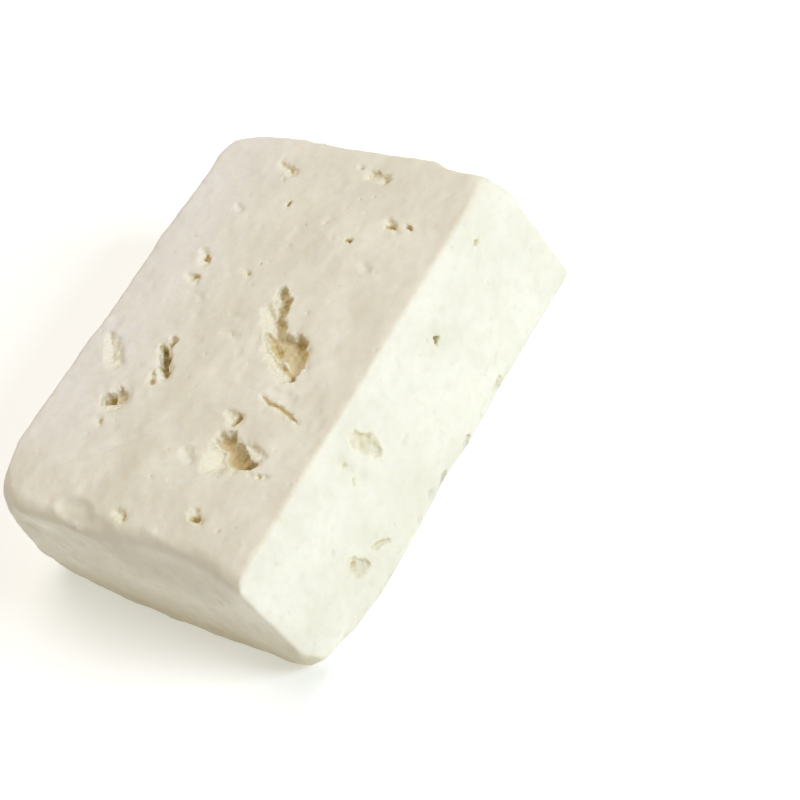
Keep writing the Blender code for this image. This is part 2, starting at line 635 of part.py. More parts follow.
def weigh_triangles(block):
    """Mark where openings sink the surface, so that their shape is kept longest."""
    places = vertex_array(block.data).astype(np.float64)
    weights = np.full(len(places), KEEP_PLAIN)
    for index, (face, (_, _, outward)) in enumerate(FACE_AXES.items()):
        towards = places @ np.array(outward)
        close = np.flatnonzero(towards > towards.max() - OPENING_REACH)
        depth = sunk_depth(face, face_points(places[close], face), SEED + FACE_SEEDS * index)
        weights[close[depth > SHALLOW]] = KEEP_OPEN
    group = block.vertex_groups.new(name="plain")
    for weight in (KEEP_OPEN, KEEP_PLAIN):
        group.add(np.flatnonzero(weights == weight).tolist(), weight, "REPLACE")
    return group.name


def finish_surface(block, table):
    """Thin the mesh out, least at the openings, and trim it flat below."""
    block.data.calc_loop_triangles()
    thin = block.modifiers.new("thin_out", "DECIMATE")
    thin.ratio = MOST_TRIANGLES / len(block.data.loop_triangles)
    thin.vertex_group = weigh_triangles(block)
    add_cut(block, "flat_base", table)
    block.data.polygons.foreach_set("use_smooth", [True] * len(block.data.polygons))


def centre_on_origin(block, origin):
    """Move the whole object so that the block's box stands on the world's origin."""
    bpy.context.view_layer.update()
    box = [Vector(corner) for corner in block.evaluated_get(
        bpy.context.evaluated_depsgraph_get()).bound_box]
    middle = sum(box, Vector()) / len(box)
    origin.location = (-middle.x, -middle.y, 0.0)


def main():
    clear_scene()
    pieces = new_collection("white_cheese")
    corners = new_collection("worn_corners")
    tools = new_collection("table")
    origin = bpy.data.objects.new("origin", None)
    pieces.objects.link(origin)

    block = make_block(pieces, origin)
    block.data.materials.append(curd_material())
    make_worn_corners(corners, origin)
    add_cut(block, "worn_corners", corners)
    add_skin(block, FIRST_VOXEL)
    add_unevenness(block, "swell", SWELL_LENGTH, SWELL_HEIGHT)
    add_unevenness(block, "ripple", RIPPLE_LENGTH, RIPPLE_HEIGHT)
    apply_modifiers(block)
    bulge_faces(block.data)
    sink_openings(block.data)
    add_skin(block, VOXEL)
    apply_modifiers(block)
    finish_surface(block, make_table(tools, origin))
    centre_on_origin(block, origin)


main()
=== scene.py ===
"""Looks of the block of white cheese: its fine curd surface, material, light and camera.

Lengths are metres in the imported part's frame: +X along the block, front at -Y, +Z up.
The block's own tables are in millimetres and repeat the part's, with finer relief added.
"""

import json
import math
import random

import bmesh
import bpy
import numpy as np
from mathutils import Matrix, Vector, kdtree
from mathutils.bvhtree import BVHTree

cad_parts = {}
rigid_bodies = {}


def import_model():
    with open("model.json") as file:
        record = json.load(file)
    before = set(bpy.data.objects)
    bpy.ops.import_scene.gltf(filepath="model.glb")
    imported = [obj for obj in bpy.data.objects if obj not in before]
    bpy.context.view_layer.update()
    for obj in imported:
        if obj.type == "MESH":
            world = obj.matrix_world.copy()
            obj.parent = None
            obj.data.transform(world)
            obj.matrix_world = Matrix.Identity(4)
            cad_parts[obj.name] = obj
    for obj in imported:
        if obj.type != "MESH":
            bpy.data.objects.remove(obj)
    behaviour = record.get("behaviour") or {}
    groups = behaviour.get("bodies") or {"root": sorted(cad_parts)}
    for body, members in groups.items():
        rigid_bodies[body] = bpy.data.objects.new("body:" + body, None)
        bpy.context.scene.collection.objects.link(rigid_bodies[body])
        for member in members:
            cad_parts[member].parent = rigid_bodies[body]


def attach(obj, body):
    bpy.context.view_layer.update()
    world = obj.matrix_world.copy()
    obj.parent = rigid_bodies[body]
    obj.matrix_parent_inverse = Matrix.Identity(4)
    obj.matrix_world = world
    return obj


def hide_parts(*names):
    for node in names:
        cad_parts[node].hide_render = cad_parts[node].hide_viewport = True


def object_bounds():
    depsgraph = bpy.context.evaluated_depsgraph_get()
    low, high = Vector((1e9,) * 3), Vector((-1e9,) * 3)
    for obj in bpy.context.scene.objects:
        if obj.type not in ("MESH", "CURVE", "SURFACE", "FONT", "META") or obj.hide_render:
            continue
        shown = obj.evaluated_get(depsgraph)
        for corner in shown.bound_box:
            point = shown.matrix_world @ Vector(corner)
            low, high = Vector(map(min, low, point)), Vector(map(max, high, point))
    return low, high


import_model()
cad_low, cad_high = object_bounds()

MM = 0.001
SEED = 7

# ---------------------------------------------------------------- the block's sizes
LENGTH = 103.0 * MM
WIDTH = 78.0 * MM
HEIGHT = 33.0 * MM

# How far each corner lies from the true box's, in mm, by its side in X, Y and Z
CORNER_SHIFT = {
    (-1, -1, +1): (+0.7, +1.6),
    (+1, -1, +1): (+1.4, +4.0),
    (+1, +1, +1): (-1.7, -1.9),
    (-1, +1, +1): (+2.3, -2.3),
    (-1, -1, -1): (+0.8, -2.0),
    (+1, -1, -1): (+1.9, -1.0),
    (+1, +1, -1): (-0.9, -0.1),
    (-1, +1, -1): (+0.4, +2.3),
}

# How far each edge is rounded, in mm
EDGE_ROUND = {
    ("top", "front"): 0.8,
    ("top", "near"): 3.3,
    ("top", "back"): 1.4,
    ("top", "far"): 1.3,
    ("front", "near"): 0.9,
    ("front", "far"): 1.4,
    ("back", "near"): 5.2,
    ("back", "far"): 3.0,
    ("base", "front"): 1.2,
    ("base", "near"): 3.0,
    ("base", "back"): 2.4,
    ("base", "far"): 2.0,
}
EDGE_SEGMENTS = 6

# Corners worn round, by the radius of the ball that fits them, in mm
WORN_CORNERS = {
    (-1, +1, +1): 5.6,
    (-1, +1, -1): 11.0,
    (-1, -1, -1): 5.6,
    (+1, +1, +1): 3.5,
    (+1, -1, +1): 3.0,
}
# The ways that a worn corner's flat cuts lean, by their share of each axis
WEAR_LEANS = (
    (1, 1, 1), (0.35, 1, 1), (1, 0.35, 1), (1, 1, 0.35),
    (0.3, 0.3, 1), (0.3, 1, 0.3), (1, 0.3, 0.3),
)

# Gentle swellings and hollows of whole faces: face, place across and up it,
# half spans across and up, and height, in mm
BULGES = {
    "far_middle": ("far", 4.0, 33.0, 34.0, 70.0, 1.2),
    "far_front_corner": ("far", -28.5, 33.0, 9.5, 14.0, -1.7),
    "back_middle": ("back", -12.0, 33.0, 16.0, 40.0, 0.7),
    "back_near": ("back", 16.0, 33.0, 12.0, 40.0, 0.5),
    "back_near_corner": ("back", 36.0, 33.0, 8.0, 20.0, -0.5),
    "front_low": ("front", -23.0, 0.0, 18.0, 10.0, 0.7),
    "end_lean": ("near", 16.0, 37.0, 22.0, 19.0, -2.5),
    "end_brow": ("near", -23.0, 33.0, 9.0, 9.0, 1.0),
    "end_groove": ("top", -46.6, 10.5, 3.2, 6.0, -0.9),
    "end_groove_low": ("top", -49.0, 4.0, 3.6, 6.5, -1.0),
}
BULGE_REACH = 16.0 * MM

# Torn hollows with steep walls: face, depth, width of the wall, and a spine of places
# across and up the face with the hollow's half width at each, all in mm
HOLLOWS = {
    "main_arm": ("top", 2.1, 0.9, (
        (13.0, -4.5, 1.2), (10.5, -6.5, 1.9), (7.0, -7.8, 1.3), (4.0, -9.7, 1.6),
    )),
    "main_prong": ("top", 2.1, 0.9, ((3.0, -7.0, 0.8), (0.5, -10.5, 1.4))),
    "main_body": ("top", 2.1, 0.9, ((2.0, -10.0, 1.9), (1.2, -13.0, 2.7), (0.4, -16.0, 3.2))),
    "main_foot": ("top", 1.9, 0.9, ((0.0, -17.0, 2.4), (-2.5, -18.3, 1.9), (-5.0, -19.3, 1.1))),
    "slot": ("top", 2.8, 0.4, ((-6.4, 16.6, 0.5), (-9.2, 14.2, 0.9), (-12.2, 11.8, 0.5))),
    "slot_tail": ("top", 0.9, 0.5, ((-6.0, 14.8, 0.8), (-4.0, 14.8, 0.8))),
    "slot_dent": ("top", 0.8, 0.7, ((-15.0, 13.0, 0.7), (-13.0, 14.0, 0.6))),
    "pit": ("top", 1.8, 1.1, ((-21.4, 21.0, 1.9), (-19.8, 18.8, 1.6))),
    "hollow": ("top", 2.3, 1.0, (
        (-22.0, -12.5, 1.2), (-22.8, -15.0, 1.9), (-25.0, -18.2, 2.4),
        (-25.5, -20.5, 2.1), (-26.0, -23.5, 0.9),
    )),
    "front_hollow": ("front", 1.1, 1.4, (
        (-11.6, 27.0, 1.8), (-10.4, 23.5, 2.1), (-9.8, 20.0, 1.2),
    )),
    "front_pit": ("front", 1.1, 1.2, ((-29.8, 9.4, 1.9), (-29.0, 7.8, 1.9))),
    "front_nick": ("front", 0.7, 0.6, ((-24.5, 7.6, 0.7), (-21.0, 6.0, 0.7))),
}

# Shallow dishes with soft rims, in the same terms
DISHES = {
    "main_slope": ("top", 1.9, 2.4, ((-0.8, -9.0, 1.2), (-2.8, -13.0, 2.0), (-5.2, -17.6, 2.2))),
    "main_apron": ("top", 1.4, 2.0, ((8.0, -4.0, 2.0), (5.5, -6.5, 2.2), (2.5, -9.0, 2.2))),
    "core_apron": ("top", 0.5, 1.2, ((4.0, -14.0, 1.3), (1.5, -18.8, 1.6), (-2.2, -21.0, 1.2))),
    "pit_apron": ("top", 0.7, 2.2, ((-22.2, 19.8, 3.2), (-20.4, 17.8, 3.2))),
    "slot_apron": ("top", 1.1, 1.5, ((-6.8, 15.4, 2.0), (-12.2, 11.2, 2.0))),
    "dent": ("top", 1.3, 1.8, ((-7.4, 31.6, 1.5), (-12.0, 27.6, 2.0))),
    "dent_side": ("top", 0.9, 3.0, ((-8.6, 29.4, 2.6), (-12.8, 25.6, 3.0))),
    "hollow_apron": ("top", 2.4, 4.2, ((-25.5, -14.0, 4.0), (-27.0, -15.0, 4.4))),
    "hollow_rim": ("top", 0.4, 1.2, (
        (-21.0, -12.5, 1.2), (-22.0, -18.0, 1.6), (-25.2, -24.4, 1.8),
    )),
    "hollow_streak": ("top", 0.9, 1.6, ((-22.4, -20.6, 1.5), (-23.4, -25.0, 1.3))),
    "hollow_side": ("top", 0.6, 1.5, ((-27.2, -5.8, 1.4), (-28.8, -8.6, 1.7))),
    "hole_apron": ("top", 0.8, 1.4, ((-16.6, -11.0, 1.6), (-17.8, -13.2, 1.9))),
    "crack_side": ("top", 0.5, 1.6, ((-9.3, -17.4, 1.6), (-9.8, -22.6, 1.8))),
    "far_dish": ("top", 0.8, 1.4, ((46.0, -6.0, 1.4), (45.4, -10.6, 1.8))),
    "far_streak": ("top", 0.8, 1.4, ((44.0, 18.0, 1.2), (42.6, 13.6, 1.6))),
    "ridge_dish": ("top", 0.7, 1.3, ((35.0, -18.4, 1.4), (33.2, -22.0, 1.0))),
    "back_dish": ("top", 0.7, 1.5, ((18.4, 22.8, 1.5), (15.6, 20.4, 1.7))),
    "back_dish_low": ("top", 0.6, 1.2, ((11.6, 22.4, 1.1), (10.6, 19.6, 1.3))),
    "back_spot": ("top", 0.6, 1.2, ((31.5, 22.5, 1.1), (30.5, 20.5, 1.2))),
    "left_dish": ("top", 0.4, 1.4, ((7.8, 17.0, 1.1), (6.8, 14.8, 1.3))),
    "small_dish": ("top", 0.45, 1.2, ((15.8, 8.6, 1.1), (15.0, 7.0, 1.0))),
    "near_dish": ("top", 0.8, 1.2, ((-44.0, 0.0, 1.3), (-44.8, -2.4, 1.4))),
    "near_pit_apron": ("top", 0.7, 1.2, ((-39.0, -18.0, 1.4), (-40.4, -20.4, 1.4))),
    "low_dish": ("top", 0.5, 1.4, ((-28.2, -25.2, 1.2), (-27.6, -29.0, 1.2))),
    "left_low_dish": ("top", 0.5, 1.3, ((-26.6, 20.4, 1.0), (-27.4, 18.6, 1.1))),
    "middle_dish": ("top", 0.35, 1.6, ((0.4, 3.6, 1.1), (0.4, 0.2, 1.5))),
    "middle_dish_side": ("top", 0.3, 1.4, ((5.0, 4.4, 0.9), (4.6, 1.0, 1.1))),
    "right_dish": ("top", 0.4, 1.6, ((23.6, -19.0, 1.5), (22.6, -20.8, 1.6))),
    "front_low": ("front", 0.45, 1.8, ((-17.6, 28.0, 1.8), (-16.4, 20.0, 2.0))),
    "front_hole_apron": ("front", 0.3, 1.4, ((16.8, 24.0, 1.6), (17.0, 20.4, 1.8))),
}

# Pockets: face, place across and up it, length, breadth and depth in mm, turn in degrees
POCKETS = {
    "main_core": ("top", 2.5, -16.0, 5.0, 3.4, 3.1, 80),
    "main_core_foot": ("top", 1.0, -18.0, 4.0, 2.0, 2.7, 25),
    "main_slot": ("top", 11.0, -6.5, 5.5, 2.2, 3.0, 45),
    "main_neck": ("top", 6.5, -8.0, 2.5, 1.5, 2.8, 45),
    "main_left": ("top", 0.0, -11.0, 3.5, 1.8, 3.0, 60),
    "main_slit": ("top", 1.5, -9.0, 3.0, 1.5, 2.2, 55),
    "main_tip": ("top", -5.0, -19.0, 3.0, 2.2, 3.6, 45),
    "slot_deep": ("top", -9.0, 14.2, 8.5, 2.0, 5.4, 40),
    "slot_tail_deep": ("top", -5.0, 15.0, 2.5, 1.5, 1.8, 0),
    "slot_dent_deep": ("top", -14.5, 13.5, 2.5, 1.2, 1.5, 40),
    "pit_deep": ("top", -21.2, 21.3, 3.3, 2.9, 5.0, 60),
    "hollow_core": ("top", -26.0, -21.5, 5.0, 2.5, 5.2, 85),
    "hollow_body": ("top", -25.0, -18.5, 5.5, 3.5, 3.4, 75),
    "hollow_head": ("top", -22.0, -14.5, 4.5, 3.0, 2.2, 65),
    "hole_by_hollow": ("top", -17.5, -13.5, 2.5, 1.8, 2.6, 40),
    "near_pit": ("top", -40.0, -19.0, 2.5, 2.0, 2.4, 120),
    "near_spot": ("top", -44.5, -2.0, 1.5, 1.0, 1.2, 40),
    "far_hole": ("top", 35.0, 9.0, 2.0, 1.5, 2.2, 30),
    "far_streak_pit": ("top", 43.5, 15.0, 3.0, 1.2, 1.5, 70),
    "far_spot": ("top", 40.0, 15.0, 1.5, 1.0, 0.9, 110),
    "far_dish_pit": ("top", 45.5, -10.5, 2.5, 2.0, 1.5, 30),
    "far_dish_slit": ("top", 46.5, -7.0, 3.0, 1.0, 0.9, 100),
    "far_nick": ("top", 47.0, -2.5, 1.5, 0.8, 0.8, 90),
    "ridge_pit": ("top", 34.0, -19.5, 2.5, 1.5, 1.9, 70),
    "ridge_spot": ("top", 34.5, -24.0, 2.0, 1.2, 1.5, 60),
    "ridge_hole": ("top", 28.5, -12.0, 1.8, 1.4, 2.2, 60),
    "back_pit": ("top", 17.0, 21.0, 2.5, 1.2, 1.9, 35),
    "back_pit_low": ("top", 11.5, 20.5, 2.5, 1.0, 1.3, 100),
    "small_hole": ("top", 15.5, 7.5, 1.5, 1.2, 1.4, 60),
    "low_hole": ("top", -28.0, -26.5, 1.8, 1.0, 1.0, 80),
    "low_spot": ("top", -27.0, -28.5, 1.0, 1.0, 0.8, 0),
    "left_hole": ("top", -27.0, 19.5, 1.5, 0.9, 0.9, 60),
    "middle_hole": ("top", 0.5, 1.0, 1.2, 0.8, 0.7, 60),
    "edge_spot": ("top", -26.5, -35.5, 1.2, 1.0, 0.8, 0),
    "front_hole": ("front", 17.0, 22.0, 2.0, 1.8, 3.2, 120),
    "front_spot": ("front", 38.5, 26.5, 2.0, 1.2, 0.9, 150),
    "front_spot_low": ("front", 35.0, 18.0, 2.0, 0.8, 0.6, 150),
    "front_faint": ("front", -3.5, 16.0, 2.5, 1.5, 0.5, 50),
    "front_faint_left": ("front", -31.5, 16.5, 2.2, 1.0, 0.5, 60),
    "front_low_dent": ("front", -17.5, 21.5, 2.5, 1.5, 0.9, 125),
    "front_low_spot": ("front", -17.0, 25.5, 2.5, 1.2, 0.7, 90),
    "front_hollow_deep": ("front", -10.2, 24.0, 6.0, 3.0, 1.5, 105),
    "front_pit_deep": ("front", -29.5, 9.0, 3.0, 2.2, 1.7, 110),
}

# Cracks and creases: face, half width and depth in mm, line in mm
CRACKS = {
    "crack": ("top", 0.42, 1.8, (
        (-10.8, -15.5), (-12.2, -18.5), (-12.4, -21.5), (-13.2, -24.0), (-14.5, -28.0),
    )),
    "knife_line": ("top", 1.1, 0.32, ((-41.0, 26.0), (-34.0, 15.5), (-30.0, 10.0), (-26.5, 5.0))),
    "hollow_crease": ("top", 0.5, 0.5, ((-26.5, -5.0), (-26.5, -7.5), (-30.0, -10.0))),
    "main_crease": ("top", 0.6, 2.4, ((-3.0, -15.0), (-4.5, -18.5))),
    "head_crease": ("top", 0.6, 1.2, ((-22.5, -11.0), (-23.0, -13.0), (-24.0, -15.5))),
    "front_nick_crack": ("front", 0.5, 0.9, ((-25.0, 8.0), (-22.5, 7.3), (-20.5, 5.5))),
}

# Openings spread over the faces that the tables leave bare
SCATTER_COUNT = {"back": 9, "far": 6, "base": 8}
SCATTER_MARGIN = 7.0 * MM
SMALL_OPENING = 1.3
LARGE_OPENING = 7.0
# A scattered pocket's breadth and depth, as shares of its length
SCATTER_BREADTH, SCATTER_DEPTH = 0.55, 0.42
# Smaller pockets break out of its side: their size and place are shares of its length,
# and their breadth and depth are shares of their own
SATELLITES = 3
SATELLITE_SIZE, SATELLITE_PLACE = (0.3, 0.65), (0.25, 0.55)
SATELLITE_BREADTH, SATELLITE_DEPTH = (0.4, 0.8), (0.25, 0.6)
# Scattered cracks: half width, depth, step and height above the base in mm
SCATTER_CRACKS = {"back": 3, "far": 2}
CRACK_HALF_WIDTH, CRACK_DEPTH = (0.22, 0.4), (0.6, 1.4)
CRACK_STEP, CRACK_STEPS, CRACK_BEND = 1.6, (4, 7), 0.6
CRACK_HEIGHT = (8.0, 25.0)

# Crumbs broken out along the front's lower edge
CHIP_COUNT = 15
CHIP_SMALL, CHIP_LARGE = 1.6, 4.6
CHIP_STRAY, CHIP_BREADTH = (0.1, 0.9), (0.3, 0.5)
CHIP_HEIGHT, CHIP_TURN = (0.6, 1.8), 15

# How outlines are torn: wavelengths and reach, in mm
TEAR = ((3.6, 0.26), (1.3, 0.08))
WAVES, WAVE_SPREAD = 9, (0.7, 1.4)
DISH_TEAR = 0.35
# How openings that overlap blend: a high power keeps the deeper one
BLEND = 4
# The raised lip outside a hollow's rim, in mm
LIP_HEIGHT, LIP_GAP, LIP_WIDTH, LIP_PATCH = 0.1, 0.5, 0.35, 3.0
# Seeds are spaced so that no two noises share one: steps for each face and each wave
FACE_SEEDS, WAVE_SEEDS, LIP_SEED = 100, 10, 50
CHIP_SEED, SPOT_SEED, CRUMBLE_SEED = 1, 3, 70
# How bluntly a crack runs out at its ends
CRACK_END = 0.4
# An opening sinks what faces its own way at least this much, by the normal's share
FACING_LOW, FACING_HIGH = 0.35, 0.75

# ---------------------------------------------------------------- the fine surface
WHOLE_VOXEL = 0.7 * MM
FIRST_VOXEL = 0.3 * MM
VOXEL = 0.28 * MM
SOFTEN_STEPS, SOFTEN_SHARE = 2, 0.5
TRIM = 0.6 * MM
MOST_TRIANGLES = 190000

# Unevenness: wavelength and height in mm, how many octaves
UNEVENNESS = {
    "swell": (19.0, 1.5, 1),
    "ripple": (4.2, 0.34, 1),
}
FINE_UNEVENNESS = {
    "curd": (1.7, 0.10, 2),
    "grain": (0.75, 0.04, 1),
}

# Crumbling round and inside the openings: how far it spreads, and its waves, in mm
CRUMBLE_SPREAD = 1.2
CRUMBLE = ((1.8, 0.08), (0.8, 0.04))
OPEN_DEPTH = 0.6
# How far openings reach into their face
OPENING_REACH = 6.5 * MM

# Round spots: how many, radius range in mm, depth as a share of the radius (raised if
# below zero), and whether they keep to the crumbled zone
SPOTS = {
    "dents": (300, (0.8, 2.6), 0.09, False),
    "pinholes": (260, (0.25, 0.55), 0.8, False),
    "crumbs": (80, (0.3, 0.8), -0.3, True),
    "pits": (25, (0.3, 0.7), 0.4, True),
}
# A spot's breadth along X and along Y, as shares of its size
SPOT_STRETCH = (0.6, 1.0)

# Lines raised on the top, or sunk where the height is below zero: points, half width
# and height in mm
RIDGES = {
    "end_bump": (((-47.5, 18.0), (-49.0, 13.0), (-50.5, 7.0)), 1.2, 0.25),
    "end_lip": (((-45.5, -8.5), (-46.5, -15.0), (-47.0, -22.5)), 0.9, 0.3),
    "knife_scratch": (((-41.0, 26.0), (-34.0, 15.5), (-30.0, 10.0), (-26.5, 5.0)), 0.4, -0.16),
}
RIDGE_REACH = 4.0 * MM
# How bluntly such a line runs out at its ends
RIDGE_END = 0.5

# How hard each zone is thinned out: 0 leaves it whole
THIN_OPEN, THIN_SHOWN, THIN_BASE = 0.0, 0.7, 1.0
# How near an opening, from 0 to 1, its zone starts: for crumbs, and for thinning
CRUMBLED_FROM, WHOLE_FROM = 0.3, 0.5

# ---------------------------------------------------------------- finish and light
# The curd's two creams, and the noises that mix them and strew flecks over them: each is
# scale, detail and roughness, with the range of the noise that the mix runs over
CURD_LIGHT = (0.84, 0.81, 0.69, 1.0)
CURD_DARK = (0.78, 0.745, 0.615, 1.0)
CURD_FLECK = (0.70, 0.65, 0.50, 1.0)
CLOUD_NOISE, CLOUD_RANGE = (60.0, 3.0, 0.6), (0.35, 0.65)
FLECK_NOISE, FLECK_RANGE = (420.0, 3.0, 0.6), (0.45, 0.8)
FLECK_TINT = 0.35
# Painted cool light makes the curd whiter towards the back, but not at the near end: its colour
# there, the places along Y and along X where it starts and where it is whole, and how much
PAINTED_COOL_LIGHT = (0.86, 0.83, 0.78, 1.0)
COOL_ACROSS = (4.0 * MM, 34.0 * MM)
COOL_ALONG = (-49.0 * MM, -30.0 * MM)
COOL_TINT = 0.75
# The tan of the openings: partly brine stain, partly painted shade in the recesses
HOLLOW_STAIN_AND_SHADE = (0.60, 0.48, 0.24, 1.0)
CURD_RIM = (0.82, 0.76, 0.52, 1.0)
RIM_TINT, RIM_RANGE = 0.3, (0.1, 1.0)
# How deep an opening starts to turn tan, as brine stain and painted shade, and where it is wholly
# so, in mm
TAN_FROM, TAN_TO = 0.5, 2.9
# Painted shade in a narrow pocket: it takes this colour by its depth as a share of its
# breadth, from the first to the second
POCKET_PAINTED_SHADE = (0.66, 0.54, 0.28, 1.0)
DARK_FROM, DARK_TO = 0.3, 1.1
# A crack's shade against that of a pocket of its depth and breadth
CRACK_SHADE = 1.4
# Painted shade at the near end's foot, darker towards the bottom: its colour, and how high the
# shade reaches
FOOT_PAINTED_SHADE = (0.63, 0.57, 0.40, 1.0)
FOOT_HEIGHT = 20.0 * MM
FOOT_FACING = (0.35, 0.75)
ROUGH_RANGE = (0.3, 0.7)
ROUGH_LOW, ROUGH_HIGH = 0.42, 0.62
GLOSS = 0.4
# How light spreads inside the curd: how much, how far in each colour, and its scale
INNER_LIGHT = 0.35
INNER_REACH = (1.0, 0.75, 0.45)
INNER_SCALE = 1.6 * MM
# The grain and the lumps of the skin: noise, strength and depth of the bump
GRAIN_NOISE, GRAIN_STRENGTH, GRAIN_DEPTH = (1500.0, 4.0, 0.65), 0.35, 0.05 * MM
LUMP_NOISE, LUMP_STRENGTH, LUMP_DEPTH = (620.0, 2.0, 0.5), 0.5, 0.12 * MM

FLOOR_SIZE = 16.0
FLOOR_LIGHT = (0.93, 0.93, 0.93, 1.0)
FLOOR_DARK = (0.91, 0.91, 0.91, 1.0)
FLOOR_CLOUDS, FLOOR_RANGE = 9.0, (0.3, 0.7)
FLOOR_ROUGH, FLOOR_GLOSS = 0.9, 0.1
FLOOR_GLOW_COLOUR = (0.93, 1.0, 0.96, 1.0)
FLOOR_GLOW = 0.33
WORLD_COLOUR = (1.0, 0.94, 0.86, 1.0)
WORLD_STRENGTH = 0.254

# Each lamp: name, azimuth and elevation in degrees, distance, size, power and colour
LAMPS = (
    ("key", 14.0, 27.0, 0.9, 0.25, 4.85, (0.77, 0.88, 1.0)),
    ("overhead", 120.0, 74.0, 0.9, 0.6, 3.9, (1.0, 0.92, 0.855)),
    ("end_fill", -85.0, 42.0, 0.9, 0.6, 0.4, (1.0, 0.62, 0.2)),
)

# The camera in the block's own frame, in mm, before the block is set on the origin
CAMERA_PLACE = (-139.74, -277.24, 303.67)
CAMERA_FORWARD = (0.3571, 0.6056, -0.7111)
CAMERA_UP = (0.7901, 0.2102, 0.5758)
CAMERA_LENS = 90.0
CAMERA_SENSOR = 36.0
CAMERA_NEAREST, CAMERA_FARTHEST = 0.01, 30.0

FACE_AXES = {
    "top": (Vector((1, 0, 0)), Vector((0, 1, 0)), Vector((0, 0, 1))),
    "base": (Vector((1, 0, 0)), Vector((0, -1, 0)), Vector((0, 0, -1))),
    "front": (Vector((1, 0, 0)), Vector((0, 0, 1)), Vector((0, -1, 0))),
    "back": (Vector((-1, 0, 0)), Vector((0, 0, 1)), Vector((0, 1, 0))),
    "near": (Vector((0, -1, 0)), Vector((0, 0, 1)), Vector((-1, 0, 0))),
    "far": (Vector((0, 1, 0)), Vector((0, 0, 1)), Vector((1, 0, 0))),
}
FACE_OF_SIDE = {
    (0, -1): "near", (0, 1): "far", (1, -1): "front",
    (1, 1): "back", (2, -1): "base", (2, 1): "top",
}


# ---------------------------------------------------------------- mesh helpers
def object_from(name, bm):
    mesh = bpy.data.meshes.new(name)
    bm.to_mesh(mesh)
    bm.free()
    made = bpy.data.objects.new(name, mesh)
    bpy.context.scene.collection.objects.link(made)
    return made


def apply_modifiers(target):
    """Replace an object's mesh by its evaluated one and drop its modifiers."""
    bpy.context.view_layer.update()
    evaluated = target.evaluated_get(bpy.context.evaluated_depsgraph_get())
    mesh = bpy.data.meshes.new_from_object(evaluated)
    target.modifiers.clear()
    old = target.data
    target.data = mesh
    bpy.data.meshes.remove(old)


def remove(*objects):
    for gone in objects:
        bpy.data.objects.remove(gone, do_unlink=True)


def vertex_array(mesh):
    values = np.empty(len(mesh.vertices) * 3, dtype=np.float32)
    mesh.vertices.foreach_get("co", values)
    return values.reshape(-1, 3)


def normal_array(mesh):
    values = np.empty(len(mesh.vertices) * 3, dtype=np.float32)
    mesh.vertex_normals.foreach_get("vector", values)
    return values.reshape(-1, 3)


def move_vertices(mesh, places):
    mesh.vertices.foreach_set("co", places.astype(np.float32).ravel())
    mesh.update()


# ---------------------------------------------------------------- the block and its cuts
def corner_place(side):
    shift_x, shift_y = CORNER_SHIFT[side]
    height = HEIGHT if side[2] > 0 else -TRIM
    return Vector((
        side[0] * LENGTH / 2 + shift_x * MM,
        side[1] * WIDTH / 2 + shift_y * MM,
        height,
    ))


def side_of(point):
    return tuple(1 if part > 0 else -1 for part in point)


def edge_faces(start, end):
    first, second = side_of(start), side_of(end)
    shared = [(axis, first[axis]) for axis in range(3) if first[axis] == second[axis]]
    return frozenset(FACE_OF_SIDE[key] for key in shared)


def make_block(name):
    """The hand-cut box with each edge rounded by its own width."""
    bm = bmesh.new()
    bmesh.ops.create_cube(bm, size=2.0)
    weight = bm.edges.layers.float.new("bevel_weight_edge")
    widest = max(EDGE_ROUND.values())
    rounding = {frozenset(faces): width for faces, width in EDGE_ROUND.items()}
    for edge in bm.edges:
        faces = edge_faces(edge.verts[0].co, edge.verts[1].co)
        edge[weight] = rounding[faces] / widest
    for corner in bm.verts:
        corner.co = corner_place(side_of(corner.co))
    block = object_from(name, bm)
    bevel = block.modifiers.new("rounded_edges", "BEVEL")
    bevel.limit_method = "WEIGHT"
    bevel.width = widest * MM
    bevel.segments = EDGE_SEGMENTS
    return block


def plane_waves(points, wavelength, seed):
    """Even noise between about -1 and 1: waves that cross in random directions."""
    rng = np.random.default_rng(seed)
    total = np.zeros(len(points))
    for _ in range(WAVES):
        direction = rng.normal(size=points.shape[1])
        pace = 2 * math.pi / (wavelength * rng.uniform(*WAVE_SPREAD))
        phase = rng.uniform(0, 2 * math.pi)
        total += np.sin(points @ (direction / np.linalg.norm(direction)) * pace + phase)
    return total * math.sqrt(2 / WAVES)


def torn(points, seed):
    """The points nudged about, so that a smooth outline laid over them looks torn."""
    moved = points.copy()
    for index, (wavelength, reach) in enumerate(TEAR):
        for axis in range(2):
            wave_seed = seed + WAVE_SEEDS * index + axis
            moved[:, axis] += reach * plane_waves(points, wavelength, wave_seed)
    return moved


def smooth_step(value):
    share = np.clip(value, 0.0, 1.0)
    return share * share * (3.0 - 2.0 * share)


def distance_inside(points, spine):
    """Each point's distance to the outline round a spine, above zero inside it."""
    inside = np.full(len(points), -np.inf)
    for start, end in zip(np.array(spine), np.array(spine[1:])):
        run = end[:2] - start[:2]
        share = np.clip((points - start[:2]) @ run / (run @ run), 0.0, 1.0)
        gap = np.linalg.norm(points - (start[:2] + share[:, None] * run), axis=1)
        inside = np.maximum(inside, start[2] + share * (end[2] - start[2]) - gap)
    return inside


def distance_to_line(points, line):
    """Each point's distance to a line of corners, and how far along it lies."""
    nearest = np.full(len(points), np.inf)
    along = np.zeros(len(points))
    steps = len(line) - 1
    for index in range(steps):
        start, end = np.array(line[index]), np.array(line[index + 1])
        run = end - start
        share = np.clip((points - start) @ run / (run @ run), 0.0, 1.0)
        gap = np.linalg.norm(points - (start + share[:, None] * run), axis=1)
        closer = gap < nearest
        nearest[closer] = gap[closer]
        along[closer] = (index + share[closer]) / steps
    return nearest, along


